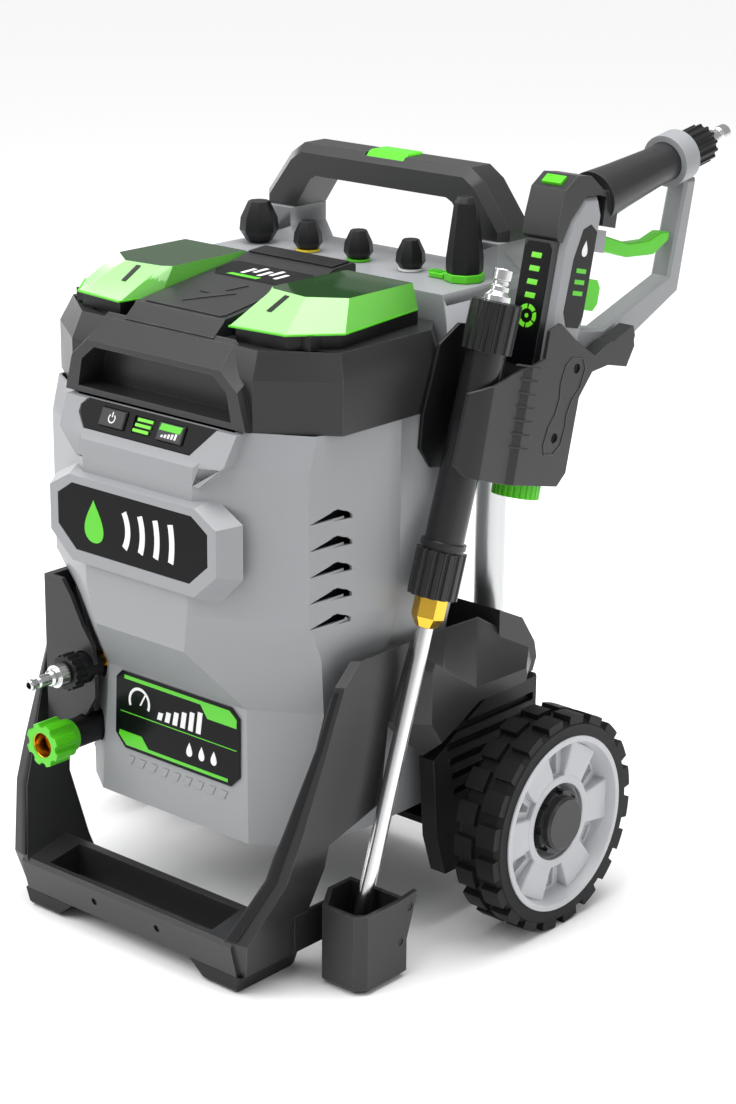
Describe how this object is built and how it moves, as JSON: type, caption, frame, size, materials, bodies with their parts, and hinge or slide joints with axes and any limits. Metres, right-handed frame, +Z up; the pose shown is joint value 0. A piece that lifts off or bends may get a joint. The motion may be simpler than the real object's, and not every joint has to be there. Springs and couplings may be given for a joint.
{
  "type": "pressure washer",
  "caption": "Upright battery pressure washer on two wheels with a U-shaped front frame, telescoping handle, clear battery lids, spray gun and lance in a side holster.",
  "frame": {"origin": "on the floor, at the middle of the machine seen from above", "axes": "+Z up, -Y to the front (control panel and water fittings), +X to the operator's left, the side of the gun and lance"},
  "size_m": [0.59, 0.6779, 0.7864],
  "materials": {
    "shell": "satin light grey",
    "charcoal": "matte dark grey",
    "black_plastic": "matte black",
    "black_gloss": "gloss black",
    "green": "bright green",
    "green_lens": "lit green",
    "green_clear": "clear green plastic",
    "rubber": "matte",
    "tyre": "moulded rubber",
    "steel": "bright steel",
    "black_steel": "black oxide",
    "aluminium": "drawn tube",
    "cast": "cast housing",
    "brass": "brass"
  },
  "bodies": {
    "chassis": {"front_shell": "shell", "rear_shell": "shell", "top_cover": "charcoal", "emblem_plate": "black_gloss", "control_panel": "black_gloss", "led_bars": "green_lens", "rating_label": "black_gloss", "vent_panels": "black_plastic", "battery_tray": "black_plastic", "battery_packs": "black_plastic", "front_frame": "charcoal", "foot_pads": "rubber", "screws": "black_steel", "lance_cup": "charcoal", "base_cover": "charcoal", "louvre_panels": "black_plastic", "outer_tubes": "aluminium", "axle": "steel", "outlet_plug": "steel", "outlet_collar": "black_plastic", "inlet_stub": "black_plastic", "motor": "steel", "pump": "cast", "outlet_pipe": "brass", "inlet_pipe": "black_plastic", "controller": "aluminium", "holster_back": "black_plastic", "holster_flap": "charcoal"},
    "lid_left": {"lid_left": "green_clear"},
    "lid_right": {"lid_right": "green_clear"},
    "power_button": {"power_button": "charcoal"},
    "mode_button": {"mode_button": "charcoal"},
    "wheel_left": {"wheel_rim_left": "shell", "tyre_left": "tyre", "hub_cap_left": "charcoal"},
    "wheel_right": {"wheel_rim_right": "shell", "tyre_right": "tyre", "hub_cap_right": "charcoal"},
    "handle": {"handle_grip": "charcoal", "inner_tubes": "aluminium"},
    "release_button": {"release_button": "green"},
    "inlet_nut": {"inlet_nut": "green"},
    "nozzle_rinse": {"nozzle_rinse": "black_plastic"},
    "nozzle_wide": {"nozzle_wide": "black_plastic"},
    "nozzle_medium": {"nozzle_medium": "black_plastic"},
    "nozzle_soap": {"nozzle_soap": "black_plastic"},
    "nozzle_turbo": {"nozzle_turbo": "black_plastic"},
    "lance": {"lance_tube": "steel", "lance_adapter": "brass", "lance_sleeve": "black_gloss", "lance_plug": "steel"},
    "gun": {"gun_shell": "shell", "gun_cover": "charcoal", "gun_barrel": "black_plastic", "gun_plug": "steel"},
    "gun_trigger": {"gun_trigger": "green"},
    "gun_lock": {"gun_lock": "green"},
    "gun_button": {"gun_button": "green"},
    "gun_coupler": {"gun_coupler": "green"},
    "gun_swivel": {"gun_swivel": "black_plastic"}
  },
  "joints": [
    {"name": "wheel_left_spin", "type": "hinge", "parent": "chassis", "child": "wheel_left", "pos_m": [-0.266, 0.011, 0.1143], "axis": [1, 0, 0], "continuous": true},
    {"name": "wheel_right_spin", "type": "hinge", "parent": "chassis", "child": "wheel_right", "pos_m": [0.266, 0.011, 0.1143], "axis": [1, 0, 0], "continuous": true},
    {"name": "lid_left_open", "type": "hinge", "parent": "chassis", "child": "lid_left", "pos_m": [-0.105, -0.065, 0.637], "axis": [-1, 0, 0], "range_deg": [0, 75]},
    {"name": "lid_right_open", "type": "hinge", "parent": "chassis", "child": "lid_right", "pos_m": [0.105, -0.065, 0.637], "axis": [-1, 0, 0], "range_deg": [0, 75]},
    {"name": "power_button_press", "type": "slide", "parent": "chassis", "child": "power_button", "axis": [0, 0.908, -0.4191], "range_m": [0, 0.0012], "stiffness_N_per_m": 400},
    {"name": "mode_button_press", "type": "slide", "parent": "chassis", "child": "mode_button", "axis": [0, 0.908, -0.4191], "range_m": [0, 0.0012], "stiffness_N_per_m": 400},
    {"name": "handle_raise", "type": "slide", "parent": "chassis", "child": "handle", "axis": [0, 0, 1], "range_m": [0, 0.3]},
    {"name": "release_press", "type": "slide", "parent": "handle", "child": "release_button", "axis": [0, 0, -1], "range_m": [0, 0.0035], "stiffness_N_per_m": 500},
    {"name": "inlet_nut_turn", "type": "hinge", "parent": "chassis", "child": "inlet_nut", "pos_m": [-0.122, -0.308, 0.186], "axis": [0, -1, 0], "continuous": true},
    {"name": "nozzle_rinse_lift", "type": "slide", "parent": "chassis", "child": "nozzle_rinse", "axis": [0, 0, 1], "range_m": [0, 0.25]},
    {"name": "nozzle_wide_lift", "type": "slide", "parent": "chassis", "child": "nozzle_wide", "axis": [0, 0, 1], "range_m": [0, 0.25]},
    {"name": "nozzle_medium_lift", "type": "slide", "parent": "chassis", "child": "nozzle_medium", "axis": [0, 0, 1], "range_m": [0, 0.25]},
    {"name": "nozzle_soap_lift", "type": "slide", "parent": "chassis", "child": "nozzle_soap", "axis": [0, 0, 1], "range_m": [0, 0.25]},
    {"name": "nozzle_turbo_lift", "type": "slide", "parent": "chassis", "child": "nozzle_turbo", "axis": [0, 0, 1], "range_m": [0, 0.25]},
    {"name": "lance_lift", "type": "slide", "parent": "chassis", "child": "lance", "axis": [0.026, 0.2531, 0.9671], "range_m": [0, 0.72]},
    {"name": "gun_lift", "type": "slide", "parent": "chassis", "child": "gun", "axis": [0, 0.2284, 0.9736], "range_m": [0, 0.4]},
    {"name": "gun_trigger_pull", "type": "hinge", "parent": "gun", "child": "gun_trigger", "pos_m": [0.228, 0.1068, 0.69163], "axis": [1, 0, 0], "range_deg": [0, 11], "stiffness_Nm_per_rad": 0.8},
    {"name": "gun_lock_slide", "type": "slide", "parent": "gun", "child": "gun_lock", "axis": [0, 0.2284, 0.9736], "range_m": [0, 0.006]},
    {"name": "gun_button_press", "type": "slide", "parent": "gun", "child": "gun_button", "axis": [0, 0.527, -0.8499], "range_m": [0, 0.0015], "stiffness_N_per_m": 400},
    {"name": "gun_coupler_pull", "type": "slide", "parent": "gun", "child": "gun_coupler", "axis": [0, 0.2284, 0.9736], "range_m": [0, 0.004], "stiffness_N_per_m": 600},
    {"name": "gun_swivel_turn", "type": "hinge", "parent": "gun", "child": "gun_swivel", "pos_m": [0.228, 0.27257, 0.76215], "axis": [0, 0.9854, 0.1702], "continuous": true}
  ]
}
